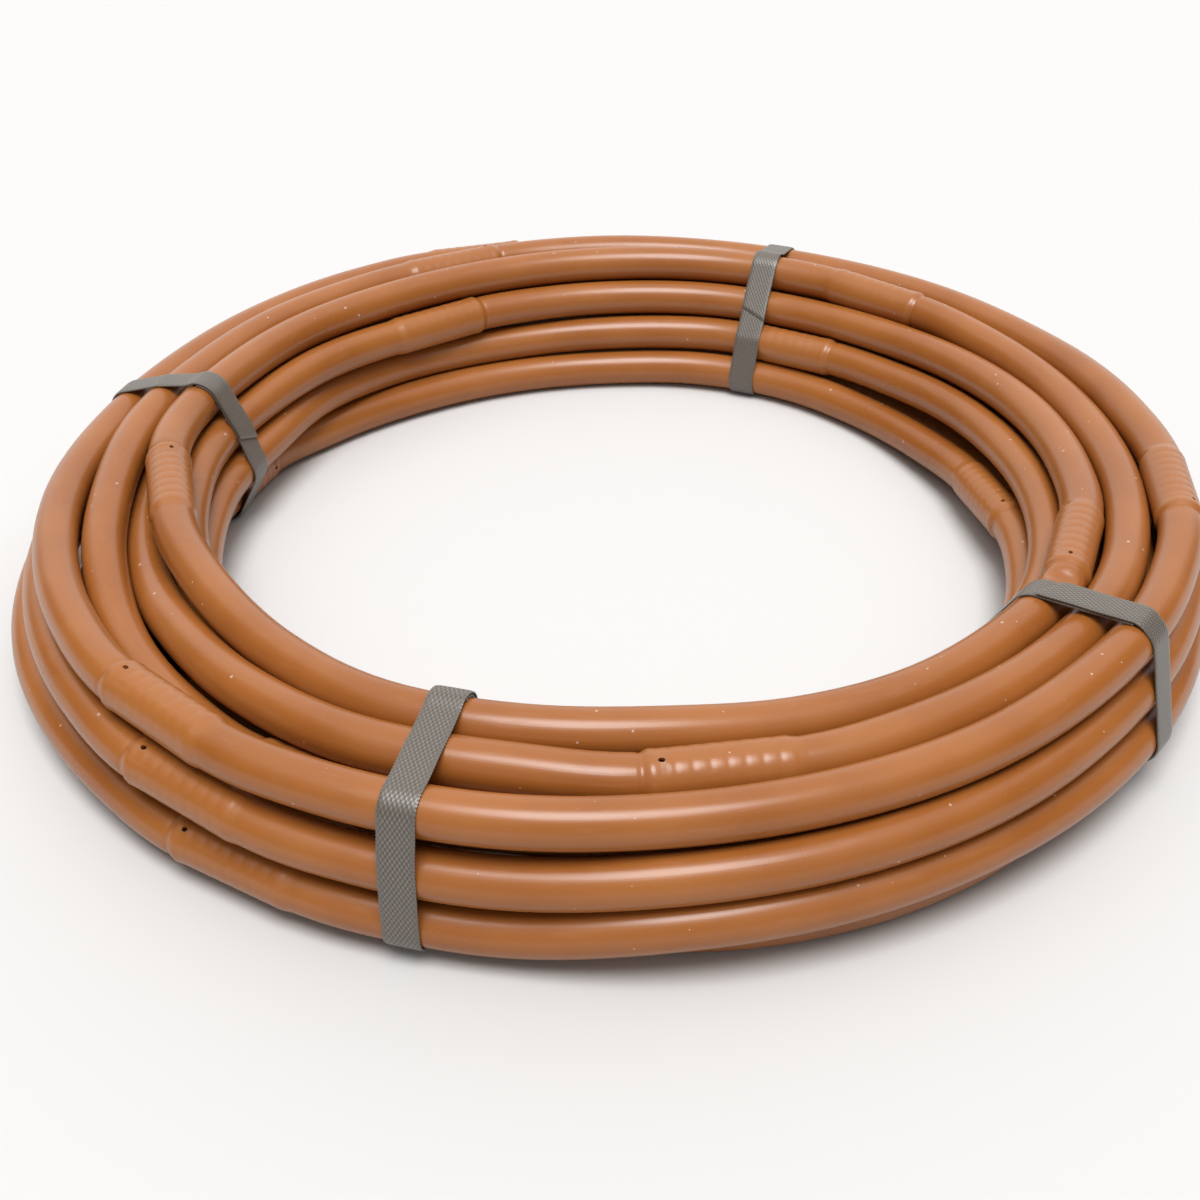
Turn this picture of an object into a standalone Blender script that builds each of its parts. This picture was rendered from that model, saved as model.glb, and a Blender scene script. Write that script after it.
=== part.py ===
"""Coil of drip hose: one 14.75 m tube with emitters inside, held by four woven straps.

Metres, +Z up.  The coil lies flat, its axis on Z, and stands on the undersides of its straps.
Azimuth is measured round the coil from the front (-Y) towards the right (+X), in degrees.
"""
import math

import bmesh
import bpy
import numpy as np
from mathutils import Matrix, Vector

# ---- hose ----
HOSE_LENGTH = 14.75
HOSE_OUTER_DIAMETER = 0.016
HOSE_WALL = 0.00115
HOSE_SIDES_RESOLUTION = 2          # a round section of eight sides

# ---- emitters, pushed into the bore at an even spacing ----
EMITTER_SPACING = 0.4572
FIRST_EMITTER = 0.429              # from the start of the hose to the first emitter's middle
EMITTER_LENGTH = 0.040
EMITTER_SWELL = 0.0007             # how far the wall stands out over an emitter
EMITTER_SHOULDER = 0.0045          # length over which the wall swells
EMITTER_WALL = 0.0022
EMITTER_RIM = 0.003                # length over which each end narrows to the waist
EMITTER_GROOVE = 0.0007            # depth of the waist, where the water channel runs

# ---- straps ----
STRAP_WIDTH = 0.012
STRAP_THICKNESS = 0.0008
STRAP_LAP = 0.034                  # length over which the two ends lie on each other
STRAP_LAP_GAP = 0.0002
STRAP_NAMES = ("strap_front", "strap_right", "strap_back", "strap_left")
STRAP_AZIMUTHS = (-15.6, 52.7, 157.2, 255.0)

# ---- fits ----
FIT_GAP = 0.0003                   # between pieces that touch
TURN_GAP = 0.0001                  # between neighbouring turns
SWELL_ROOM = 0.0002                # more room beside an emitter, which stays straight

# ---- the lay: where each turn runs, in hose diameters out from the coil's mean radius and in
# nested rows up from the ground, at thirteen azimuths round the coil ----
LAY_AZIMUTHS = (-15.6, 3, 28, 52.7, 80, 105, 131, 157.2, 182, 212, 255, 287, 320)
LAY = (
    ((0.4, 0), (1.4, 0), (1.3, 0), (0.9, 0), (0.7, 0), (0.8, 0), (1.4, 0), (2.1, 0), (1.8, 0.4),
     (1.2, 0.7), (1.2, 0.7), (1.9, 0.7), (1.6, 0.3)),
    ((1.4, 0), (1.9, 1), (1.8, 1), (1.4, 0.9), (1.2, 0.9), (1.3, 0.9), (1.9, 0.9), (1.6, 1),
     (1.7, 1.5), (0.9, 1.8), (0.8, 1.7), (1.3, 2), (1.7, 2.1)),
    ((1.4, 1.5), (1.8, 2.1), (1.7, 2.1), (1.4, 2.1), (1.4, 2), (1.5, 2), (1.8, 2), (2.2, 1.9),
     (2, 2.7), (1.1, 2.9), (0.5, 2.8), (0.9, 3.1), (1.3, 3.1)),
    ((1.5, 3.1), (1.3, 3.2), (1.2, 3.2), (1.1, 3.2), (1.1, 3.1), (1.1, 3.1), (1.3, 3), (1.6, 2.9),
     (1, 3.1), (0.1, 3.1), (-0.4, 3.2), (-0.4, 3.1), (0.6, 2.2)),
    ((0.5, 2.1), (0.8, 2.2), (0.6, 2.1), (0.4, 2.1), (0.4, 2), (0.5, 2), (0.6, 1.8), (1, 2),
     (0.5, 2.1), (-0.5, 2.1), (-0.8, 2.1), (-1, 2.1), (-0.3, 3)),
    ((0.5, 3.2), (0.2, 3.2), (0.2, 3.2), (0.2, 3.3), (0.1, 3.1), (0.2, 3.1), (0.3, 3.1),
     (0.6, 3.1), (0, 3.1), (-1, 3.1), (-1.4, 3.2), (-1.9, 3.2), (-1.5, 3.2)),
    ((-0.5, 3.2), (-1.1, 3.1), (-0.9, 3.1), (-0.7, 3), (-1, 3.1), (-1, 3), (-0.7, 2.5), (0, 2),
     (-0.5, 2.1), (-1.6, 2.1), (-1.8, 2.1), (-2, 2.1), (-1.6, 2.1)),
    ((-0.6, 2.1), (-1.5, 2.1), (-1.5, 2.1), (-1.2, 2.1), (-1.6, 2.1), (-1.7, 2), (-1.2, 1.5),
     (-0.4, 1), (-0.9, 1), (-1.3, 1), (-2, 1), (-2, 1), (-1.8, 1)),
    ((-1.1, 1.1), (-1.2, 1), (-1.2, 1), (-1.3, 1), (-1.9, 1.1), (-2.1, 0.5), (-1.6, 0), (-0.9, 0),
     (-1.5, 0), (-1.8, 0), (-1.6, 0), (-1.5, 0), (-1.4, 0)),
    ((-1.6, 0), (-0.7, 0), (-0.7, 0), (-0.9, 0), (-1.3, 0), (-1.2, 0), (-0.6, 0), (0.1, 0),
     (-0.4, 0), (-0.7, 0), (-0.6, 0), (-0.5, 0), (-0.4, 0)),
    ((-0.6, 0), (0.3, 0), (0.3, 0), (0, 0), (-0.3, 0), (-0.2, 0), (0.4, 0), (1.1, 0), (0.6, 0),
     (0.3, 0), (0.4, 0), (0.5, 0), (0.6, 0)),
    ((0, 1.1), (-0.2, 1), (-0.2, 1), (-0.4, 1), (-0.8, 1), (-0.7, 1), (-0.1, 1), (0.6, 1),
     (0.1, 1), (-0.2, 1), (-0.1, 1), (0, 1.1), (0.1, 1.1)),
)

# ---- stations, where the hose is given its points ----
STRAIGHT_HALF_SPAN = 7.2           # degrees each side of a strap where every turn runs straight
STEPS_TO_NEXT_STRAP = (4, 6, 5, 5)
STATIONS_SHORT = 1                 # how far before the front strap the last turn ends
SETTLE_ROUNDS = 120
SETTLE_FREE_ROUNDS = 40            # the last rounds only push turns apart
SETTLE_PULL = 0.1                  # how firmly a turn keeps to the lay plan
SETTLE_STIFFNESS = 0.06            # how firmly it stays straight from station to station
SETTLE_SHARE = 0.25                # how much of its way clear a station goes in one push
CROSSING_SHARE = 0.33              # and how much of theirs the places between stations go
CROSSING_PLACES = (0.3, 0.7)       # where they lie, from one station to the next
JOIN_DISTANCE = 0.00001
EMITTER_SIDES = 8
FLAT_TO_CORNER = math.cos(math.pi / EMITTER_SIDES)
STRAP_CORNER_STEPS = 12
HOSE_RADIUS = HOSE_OUTER_DIAMETER / 2
TURN_PITCH = HOSE_OUTER_DIAMETER + TURN_GAP
ROW_RISE = TURN_PITCH * math.sqrt(3) / 2
FULL_TURNS = len(LAY)
INSERT_HALF_LENGTH = EMITTER_LENGTH / 2 + EMITTER_SHOULDER


def station_azimuths():
    """Azimuths of one turn's stations: two round each strap, and even steps between straps."""
    azimuths = []
    for index, strap in enumerate(STRAP_AZIMUTHS):
        following = STRAP_AZIMUTHS[(index + 1) % len(STRAP_AZIMUTHS)]
        if following < strap:
            following += 360
        azimuths.append(strap - STRAIGHT_HALF_SPAN)
        azimuths.extend(np.linspace(strap + STRAIGHT_HALF_SPAN, following - STRAIGHT_HALF_SPAN,
                                    STEPS_TO_NEXT_STRAP[index], endpoint=False))
    return np.array(azimuths)


STATIONS = station_azimuths()
PER_TURN = len(STATIONS)
STATION_COUNT = FULL_TURNS * PER_TURN - STATIONS_SHORT
UNROLLED = np.array([360 * (i // PER_TURN) + STATIONS[i % PER_TURN] for i in range(STATION_COUNT)])


def smooth_between(known_at, known, wanted):
    """Read a smooth curve through the known rows at the wanted places."""
    slopes = np.gradient(known, known_at, axis=0)
    left = np.clip(np.searchsorted(known_at, wanted, side="right") - 1, 0, len(known_at) - 2)
    span = known_at[left + 1] - known_at[left]
    t = np.clip((wanted - known_at[left]) / span, 0, 1)[:, None]
    span = span[:, None]
    return ((1 + 2 * t) * (1 - t) ** 2 * known[left] + t * (1 - t) ** 2 * span * slopes[left]
            + t * t * (3 - 2 * t) * known[left + 1] + t * t * (t - 1) * span * slopes[left + 1])


def drawn_lay():
    """Offset outwards and height of every station, as the lay plan draws them."""
    places = []
    offsets = []
    for turn, row in enumerate(LAY):
        for azimuth, (out, up) in zip(LAY_AZIMUTHS, row):
            places.append(360 * turn + azimuth)
            offsets.append((out * TURN_PITCH, HOSE_RADIUS + up * ROW_RISE))
    return smooth_between(np.array(places, float), np.array(offsets), UNROLLED)


def pushes(places, radii):
    """How far each place has to move to stand clear of the other turns at its azimuth."""
    rows = FULL_TURNS
    reach = np.zeros(rows * PER_TURN)
    reach[:len(places)] = radii
    reach = reach.reshape(rows, PER_TURN)
    grid = np.zeros((rows * PER_TURN, 2))
    grid[:len(places)] = places
    grid = grid.reshape(rows, PER_TURN, 2)
    present = reach > 0
    apart = present[:, None] & present[None] & ~np.eye(rows, dtype=bool)[:, :, None]
    needed = reach[:, None] + reach[None] + TURN_GAP
    away = grid[:, None] - grid[None]
    distance = np.maximum(np.hypot(away[..., 0], away[..., 1]), JOIN_DISTANCE)
    push = np.where(apart, np.clip(needed - distance, 0, None) / distance, 0)
    return (away * push[..., None]).sum(axis=1).reshape(-1, 2)[:len(places)]


def settle(drawn, radii):
    """Push the turns apart until they lie beside and on each other, at and between stations."""
    pairs = [int(np.argmin(np.abs(STATIONS - (strap - STRAIGHT_HALF_SPAN))))
             for strap in STRAP_AZIMUTHS]
    lift = np.full(PER_TURN, FIT_GAP)
    starts = []
    for first in pairs:
        lift[[first, first + 1]] = STRAP_THICKNESS + FIT_GAP
        starts.extend(range(first, STATION_COUNT - 1, PER_TURN))
    starts = np.array(starts)
    floor = radii + np.resize(lift, STATION_COUNT)
    between = np.maximum(radii[:-1], radii[1:])
    places = drawn.copy()
    for step in range(SETTLE_ROUNDS):
        if step < SETTLE_ROUNDS - SETTLE_FREE_ROUNDS:
            places += SETTLE_PULL * (drawn - places)
            bend = places[:-2] + places[2:] - 2 * places[1:-1]
            places[1:-1] += SETTLE_STIFFNESS * bend
        for _ in range(2):
            places += pushes(places, radii) * SETTLE_SHARE
            for share in CROSSING_PLACES:
                crossing = places[:-1] * (1 - share) + places[1:] * share
                sideways = pushes(crossing, between) * CROSSING_SHARE
                places[:-1] += sideways * (1 - share)
                places[1:] += sideways * share
            straight = (places[starts] + places[starts + 1]) / 2
            places[starts] = straight
            places[starts + 1] = straight
            places[:, 1] = np.maximum(places[:, 1], floor)
    return places


def arc_lengths(azimuths, offsets, mean_radius):
    """Length along the hose up to each of the given azimuths."""
    angles = np.radians(azimuths)
    radii = mean_radius + offsets[:, 0]
    points = np.stack([radii * np.sin(angles), -radii * np.cos(angles), offsets[:, 1]], axis=1)
    steps = np.linalg.norm(np.diff(points, axis=0), axis=1)
    return np.concatenate([[0], np.cumsum(steps)])


def lay_hose():
    """Settled stations, mean radius and the emitters' azimuths, for the hose's full length."""
    drawn = drawn_lay()
    fine = np.arange(UNROLLED[0], UNROLLED[-1], 2.0)
    swing = math.radians(UNROLLED[-1] - UNROLLED[0])
    mean_radius = HOSE_LENGTH / swing
    emitter_lengths = np.arange(FIRST_EMITTER, HOSE_LENGTH - INSERT_HALF_LENGTH, EMITTER_SPACING)
    radii = np.full(STATION_COUNT, HOSE_RADIUS)
    for _ in range(3):
        offsets = settle(drawn, radii)
        smooth = smooth_between(UNROLLED, offsets, fine)
        lengths = arc_lengths(fine, smooth, mean_radius)
        mean_radius += (HOSE_LENGTH - lengths[-1]) / swing
        lengths = arc_lengths(fine, smooth, mean_radius)
        emitters = np.interp(emitter_lengths, lengths, fine)
        along = np.interp(UNROLLED, fine, lengths)
        nearest = np.abs(along[:, None] - emitter_lengths[None]).min(axis=1)
        beside = nearest < INSERT_HALF_LENGTH + mean_radius * math.radians(STRAIGHT_HALF_SPAN)
        radii = HOSE_RADIUS + np.where(beside, EMITTER_SWELL + SWELL_ROOM, 0)
    return offsets, mean_radius, emitters


def route_point(azimuth, offset, mean_radius, half_span=STRAIGHT_HALF_SPAN):
    """Corner of the hose's route, a little proud, so that chord and arc are equally long."""
    proud = math.radians(half_span) / math.sin(math.radians(half_span))
    radius = (mean_radius + offset[0]) * proud
    angle = math.radians(azimuth)
    return Vector((radius * math.sin(angle), -radius * math.cos(angle), offset[1]))


def hose_route(offsets, mean_radius, emitters):
    """Points and radii of the hose, and each emitter's middle and direction."""
    keep = {}
    inserts = []
    swollen = (HOSE_RADIUS + EMITTER_SWELL) / HOSE_RADIUS
    for azimuth in emitters:
        middle = smooth_between(UNROLLED, offsets, np.array([azimuth]))[0]
        half_span = math.degrees(INSERT_HALF_LENGTH / (mean_radius + middle[0]))
        ends = []
        for side in (-1, 1):
            there = azimuth + side * half_span
            offset = smooth_between(UNROLLED, offsets, np.array([there]))[0]
            ends.append(route_point(there, offset, mean_radius, half_span))
        centre = (ends[0] + ends[1]) / 2
        direction = (ends[1] - ends[0]).normalized()
        inserts.append((centre, direction))
        for reach, scale in ((-INSERT_HALF_LENGTH, 1), (-EMITTER_LENGTH / 2, swollen),
                             (EMITTER_LENGTH / 2, swollen), (INSERT_HALF_LENGTH, 1)):
            key = azimuth + half_span * reach / INSERT_HALF_LENGTH
            keep[key] = (centre + direction * reach, scale)
    clear = math.degrees((INSERT_HALF_LENGTH + HOSE_OUTER_DIAMETER * 0.8) / mean_radius)
    for azimuth, offset in zip(UNROLLED, offsets):
        if np.abs(emitters - azimuth).min() > clear:
            keep[azimuth] = (route_point(azimuth, offset, mean_radius), 1)
    ordered = [keep[key] for key in sorted(keep)]
    return ordered, inserts


def clear_scene():
    """Start from an empty file."""
    for thing in list(bpy.data.objects):
        bpy.data.objects.remove(thing, do_unlink=True)


def plain_material(name, colour, roughness):
    """A Principled material with the piece's colour and roughness."""
    material = bpy.data.materials.new(name)
    material.use_nodes = True
    shader = material.node_tree.nodes["Principled BSDF"]
    shader.inputs["Base Color"].default_value = (*colour, 1)
    shader.inputs["Roughness"].default_value = roughness
    shader.inputs["Metallic"].default_value = 0
    return material


def place_in_part(thing, collection, material, origin):
    """Link a piece, give it its material and hang it on the part's origin."""
    collection.objects.link(thing)
    thing.data.materials.append(material)
    thing.parent = origin


def make_hose(route, collection, material, origin):
    """The hose wall: one open round tube along the whole route, with its wall turned inwards."""
    curve = bpy.data.curves.new("hose_route", "CURVE")
    curve.dimensions = "3D"
    curve.twist_mode = "Z_UP"
    curve.bevel_depth = HOSE_RADIUS
    curve.bevel_resolution = HOSE_SIDES_RESOLUTION
    spline = curve.splines.new("POLY")
    spline.points.add(len(route) - 1)
    for point, (place, scale) in zip(spline.points, route):
        point.co = (*place, 1)
        point.radius = scale
    guide = bpy.data.objects.new("hose_guide", curve)
    bpy.context.scene.collection.objects.link(guide)
    skin = bpy.data.meshes.new_from_object(guide.evaluated_get(bpy.context.evaluated_depsgraph_get()))
    bpy.data.objects.remove(guide)
    welded = bmesh.new()
    welded.from_mesh(skin)
    bmesh.ops.remove_doubles(welded, verts=welded.verts, dist=JOIN_DISTANCE)
    welded.to_mesh(skin)
    welded.free()
    skin.materials.clear()
    hose = bpy.data.objects.new("hose", skin)
    place_in_part(hose, collection, material, origin)
    wall = hose.modifiers.new("wall", "SOLIDIFY")
    wall.thickness = HOSE_WALL
    wall.offset = -1
    wall.use_even_offset = True
    skin.shade_smooth()
    skin.set_sharp_from_angle(angle=math.radians(60))
    return hose


def emitter_blank():
    """The emitter's half section, which is turned about its axis: ends, waist and bore."""
    outer = HOSE_RADIUS + EMITTER_SWELL - (HOSE_WALL + FIT_GAP) / FLAT_TO_CORNER
    bore = outer - EMITTER_WALL
    groove = outer - EMITTER_GROOVE
    end = EMITTER_LENGTH / 2
    section = ((bore, end), (outer, end), (groove, end - EMITTER_RIM),
               (groove, EMITTER_RIM - end), (outer, -end), (bore, -end))
    mesh = bpy.data.meshes.new("emitter_section")
    count = len(section)
    mesh.from_pydata([(radius, 0, height) for radius, height in section],
                     [(index, (index + 1) % count) for index in range(count)], [])
    return mesh


def make_emitters(inserts, collection, material, origin):
    """One emitter at each insert, its axis along the hose."""
    section = emitter_blank()
    for number, (centre, direction) in enumerate(inserts, start=1):
        emitter = bpy.data.objects.new(f"emitter_{number:02d}", section)
        collection.objects.link(emitter)
        emitter.parent = origin
        turned = emitter.modifiers.new("turned", "SCREW")
        turned.axis = "Z"
        turned.steps = EMITTER_SIDES
        turned.render_steps = EMITTER_SIDES
        turned.use_merge_vertices = True
        turned.merge_threshold = JOIN_DISTANCE
        turned.use_normal_calculate = False
        up = Vector((0, 0, 1))
        across = up.cross(direction).normalized()
        steady = direction.cross(across)
        frame = Matrix((across, steady, direction)).transposed()
        emitter.matrix_world = Matrix.Translation(centre) @ frame.to_4x4()
    section.materials.append(material)


def crossings(route, outward, along, offset):
    """Where the turns cross a plane beside the strap's middle: out, up and radius, in order."""
    found = []
    for (start, first_scale), (end, last_scale) in zip(route, route[1:]):
        before, after = start.dot(along) - offset, end.dot(along) - offset
        if start.dot(outward) < 0 or (before > 0) == (after > 0):
            continue
        place = start.lerp(end, before / (before - after))
        found.append((place.dot(outward), place.z, HOSE_RADIUS * max(first_scale, last_scale)))
    return found


def bundle_circles(route, azimuth):
    """Middle and radius of every turn in the strap, with room for its slant under the strap."""
    angle = math.radians(azimuth)
    outward = Vector((math.sin(angle), -math.cos(angle), 0))
    along = Vector((math.cos(angle), math.sin(angle), 0))
    planes = [crossings(route, outward, along, side * STRAP_WIDTH / 2) for side in (0, -1, 1)]
    circles = []
    for middle, near, far in zip(*planes):
        drift = max(math.dist(middle[:2], edge[:2]) for edge in (near, far))
        circles.append((middle[0], middle[1], max(middle[2], near[2], far[2]) + drift))
    return circles


def tight_loop(circles):
    """The shortest loop round the circles: for each corner its circle and its direction."""
    corners = []
    for radial, height, radius in circles:
        for step in range(STRAP_CORNER_STEPS):
            turn = 2 * math.pi * step / STRAP_CORNER_STEPS
            corners.append((radial + radius * math.cos(turn), height + radius * math.sin(turn),
                            math.cos(turn), math.sin(turn)))
    corners.sort()

    def half(ordered):
        chain = []
        for corner in ordered:
            while len(chain) > 1:
                (x0, y0), (x1, y1) = chain[-2][:2], chain[-1][:2]
                if (x1 - x0) * (corner[1] - y0) - (y1 - y0) * (corner[0] - x0) > 0:
                    break
                chain.pop()
            chain.append(corner)
        return chain[:-1]

    return half(corners) + half(corners[::-1])


def strap_outline(circles):
    """The strap's edge-on outline: once round the bundle, level underneath, and on over its start."""
    loop = tight_loop(circles)
    highest = max(range(len(loop)), key=lambda index: (loop[index][1], loop[index][0]))
    loop = loop[highest:] + loop[:highest]
    inside = []
    outside = []

    def add(corner, lift):
        x, y, out_x, out_y = corner
        inside.append(Vector((x + out_x * lift, max(y + out_y * lift, STRAP_THICKNESS))))
        lift += STRAP_THICKNESS
        outside.append(Vector((x + out_x * lift, max(y + out_y * lift, 0))))

    for corner in loop:
        add(corner, FIT_GAP)
    second_layer = FIT_GAP + STRAP_THICKNESS + STRAP_LAP_GAP
    add(loop[0], second_layer)
    left = STRAP_LAP
    for previous, corner in zip(loop, loop[1:]):
        step = math.hypot(corner[0] - previous[0], corner[1] - previous[1])
        share = min(left / step, 1)
        left -= step * share
        add([a + (b - a) * share for a, b in zip(previous, corner)], second_layer)
        if left < STRAP_THICKNESS:
            break
    return inside + outside[::-1]


def make_strap(name, azimuth, route, collection, material, origin):
    """A flat band in the upright plane that cuts the bundle at this azimuth."""
    outline = strap_outline(bundle_circles(route, azimuth))
    curve = bpy.data.curves.new(name, "CURVE")
    curve.dimensions = "2D"
    curve.fill_mode = "BOTH"
    curve.extrude = STRAP_WIDTH / 2
    spline = curve.splines.new("POLY")
    spline.points.add(len(outline) - 1)
    spline.use_cyclic_u = True
    for point, place in zip(spline.points, outline):
        point.co = (place.x, place.y, 0, 1)
    strap = bpy.data.objects.new(name, curve)
    place_in_part(strap, collection, material, origin)
    angle = math.radians(azimuth)
    outward = Vector((math.sin(angle), -math.cos(angle), 0))
    up = Vector((0, 0, 1))
    strap.matrix_world = Matrix((outward, up, outward.cross(up))).transposed().to_4x4()
    return strap


def stand_on_origin(origin, collection):
    """Move the part so that the middle of its underside is at the world's origin."""
    bpy.context.view_layer.update()
    ready = bpy.context.evaluated_depsgraph_get()
    corners = []
    for piece in collection.objects:
        if piece.type == "EMPTY":
            continue
        solid = piece.evaluated_get(ready)
        corners.extend(solid.matrix_world @ vertex.co for vertex in solid.to_mesh().vertices)
        solid.to_mesh_clear()
    low = [min(corner[axis] for corner in corners) for axis in range(3)]
    high = [max(corner[axis] for corner in corners) for axis in range(3)]
    origin.location = (-(low[0] + high[0]) / 2, -(low[1] + high[1]) / 2, -low[2])
    bpy.context.view_layer.update()


def build():
    """Lay the hose, then put in the emitters and tie the straps."""
    clear_scene()
    collection = bpy.data.collections.new("soaker_hose")
    bpy.context.scene.collection.children.link(collection)
    origin = bpy.data.objects.new("coil_origin", None)
    collection.objects.link(origin)
    polyethylene = plain_material("brown_polyethylene", (0.42, 0.17, 0.06), 0.38)
    moulding = plain_material("black_moulding", (0.03, 0.03, 0.03), 0.5)
    webbing = plain_material("grey_webbing", (0.16, 0.14, 0.12), 0.75)
    offsets, mean_radius, emitters = lay_hose()
    route, inserts = hose_route(offsets, mean_radius, emitters)
    make_hose(route, collection, polyethylene, origin)
    make_emitters(inserts, collection, moulding, origin)
    for name, azimuth in zip(STRAP_NAMES, STRAP_AZIMUTHS):
        make_strap(name, azimuth, route, collection, webbing, origin)
    stand_on_origin(origin, collection)


build()
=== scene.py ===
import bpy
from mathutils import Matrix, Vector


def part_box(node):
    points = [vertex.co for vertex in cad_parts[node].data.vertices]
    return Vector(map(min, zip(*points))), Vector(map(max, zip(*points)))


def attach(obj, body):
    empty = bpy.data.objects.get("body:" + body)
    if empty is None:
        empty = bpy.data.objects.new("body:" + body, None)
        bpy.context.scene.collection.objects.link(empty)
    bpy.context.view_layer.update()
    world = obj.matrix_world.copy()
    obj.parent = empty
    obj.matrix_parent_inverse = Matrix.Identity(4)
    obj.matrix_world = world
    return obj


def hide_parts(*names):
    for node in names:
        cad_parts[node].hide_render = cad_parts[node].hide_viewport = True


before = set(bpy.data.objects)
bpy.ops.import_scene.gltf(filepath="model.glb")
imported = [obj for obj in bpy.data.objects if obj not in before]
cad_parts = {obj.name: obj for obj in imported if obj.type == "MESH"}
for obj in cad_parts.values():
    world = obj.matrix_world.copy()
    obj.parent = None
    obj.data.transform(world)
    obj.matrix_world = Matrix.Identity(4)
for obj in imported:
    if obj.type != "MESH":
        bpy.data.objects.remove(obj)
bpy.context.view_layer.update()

import math

import bpy
import numpy as np
from mathutils import Vector


# ==== The hose's lay ====
# One extruded polyethylene tube, wound into a coil of twelve turns.  The turns aren't parallel:
# they cross over each other and nest.  Where each of them runs was read off the coil at thirteen
# azimuths, and they are then pushed apart until each lies beside or on its neighbours.
HOSE_LENGTH = 14.75
HOSE_OUTER_DIAMETER = 0.016
HOSE_RADIUS = HOSE_OUTER_DIAMETER / 2
EMITTER_SPACING = 0.4572
FIRST_EMITTER = 0.429
EMITTER_LENGTH = 0.040
EMITTER_SWELL = 0.0007
EMITTER_SHOULDER = 0.0045
INSERT_HALF_LENGTH = EMITTER_LENGTH / 2 + EMITTER_SHOULDER
# Degrees round the coil from the front, anticlockwise from above.
STRAP_AZIMUTHS = {"strap_front": -15.6, "strap_right": 52.7, "strap_back": 157.2, "strap_left": 255.0}
STRAP_THICKNESS = 0.0008
FIT_GAP = 0.0003
TURN_GAP = 0.0001
SWELL_ROOM = 0.0002
# Each turn's place at these azimuths: how far out, in hose pitches, and how many rows up.
LAY_AZIMUTHS = (-15.6, 3, 28, 52.7, 80, 105, 131, 157.2, 182, 212, 255, 287, 320)
LAY = (
    ((0.4, 0), (1.4, 0), (1.3, 0), (0.9, 0), (0.7, 0), (0.8, 0), (1.4, 0), (2.1, 0), (1.8, 0.4),
     (1.2, 0.7), (1.2, 0.7), (1.9, 0.7), (1.6, 0.3)),
    ((1.4, 0), (1.9, 1), (1.8, 1), (1.4, 0.9), (1.2, 0.9), (1.3, 0.9), (1.9, 0.9), (1.6, 1),
     (1.7, 1.5), (0.9, 1.8), (0.8, 1.7), (1.3, 2), (1.7, 2.1)),
    ((1.4, 1.5), (1.8, 2.1), (1.7, 2.1), (1.4, 2.1), (1.4, 2), (1.5, 2), (1.8, 2), (2.2, 1.9),
     (2, 2.7), (1.1, 2.9), (0.5, 2.8), (0.9, 3.1), (1.3, 3.1)),
    ((1.5, 3.1), (1.3, 3.2), (1.2, 3.2), (1.1, 3.2), (1.1, 3.1), (1.1, 3.1), (1.3, 3), (1.6, 2.9),
     (1, 3.1), (0.1, 3.1), (-0.4, 3.2), (-0.4, 3.1), (0.6, 2.2)),
    ((0.5, 2.1), (0.8, 2.2), (0.6, 2.1), (0.4, 2.1), (0.4, 2), (0.5, 2), (0.6, 1.8), (1, 2),
     (0.5, 2.1), (-0.5, 2.1), (-0.8, 2.1), (-1, 2.1), (-0.3, 3)),
    ((0.5, 3.2), (0.2, 3.2), (0.2, 3.2), (0.2, 3.3), (0.1, 3.1), (0.2, 3.1), (0.3, 3.1),
     (0.6, 3.1), (0, 3.1), (-1, 3.1), (-1.4, 3.2), (-1.9, 3.2), (-1.5, 3.2)),
    ((-0.5, 3.2), (-1.1, 3.1), (-0.9, 3.1), (-0.7, 3), (-1, 3.1), (-1, 3), (-0.7, 2.5), (0, 2),
     (-0.5, 2.1), (-1.6, 2.1), (-1.8, 2.1), (-2, 2.1), (-1.6, 2.1)),
    ((-0.6, 2.1), (-1.5, 2.1), (-1.5, 2.1), (-1.2, 2.1), (-1.6, 2.1), (-1.7, 2), (-1.2, 1.5),
     (-0.4, 1), (-0.9, 1), (-1.3, 1), (-2, 1), (-2, 1), (-1.8, 1)),
    ((-1.1, 1.1), (-1.2, 1), (-1.2, 1), (-1.3, 1), (-1.9, 1.1), (-2.1, 0.5), (-1.6, 0), (-0.9, 0),
     (-1.5, 0), (-1.8, 0), (-1.6, 0), (-1.5, 0), (-1.4, 0)),
    ((-1.6, 0), (-0.7, 0), (-0.7, 0), (-0.9, 0), (-1.3, 0), (-1.2, 0), (-0.6, 0), (0.1, 0),
     (-0.4, 0), (-0.7, 0), (-0.6, 0), (-0.5, 0), (-0.4, 0)),
    ((-0.6, 0), (0.3, 0), (0.3, 0), (0, 0), (-0.3, 0), (-0.2, 0), (0.4, 0), (1.1, 0), (0.6, 0),
     (0.3, 0), (0.4, 0), (0.5, 0), (0.6, 0)),
    ((0, 1.1), (-0.2, 1), (-0.2, 1), (-0.4, 1), (-0.8, 1), (-0.7, 1), (-0.1, 1), (0.6, 1),
     (0.1, 1), (-0.2, 1), (-0.1, 1), (0, 1.1), (0.1, 1.1)),
)
STRAIGHT_HALF_SPAN = 7.2           # degrees to each side of a strap in which no turn shifts
STEPS_TO_NEXT_STRAP = (4, 6, 5, 5)
STATIONS_SHORT = 1                 # the last turn ends this many stations early
MEASURE_STEP = 2.0                 # degrees between the points that the length is measured on
SWELL_ROUNDS = 3                   # how often the swollen stretches are found anew
SETTLE_ROUNDS = 120
SETTLE_FREE_ROUNDS = 40
PUSHES_A_ROUND = 2
SETTLE_PULL = 0.1
SETTLE_STIFFNESS = 0.06
SETTLE_SHARE = 0.25
CROSSING_SHARE = 0.33
CROSSING_PLACES = (0.3, 0.7)
LEAST_DISTANCE = 0.00001
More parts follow.
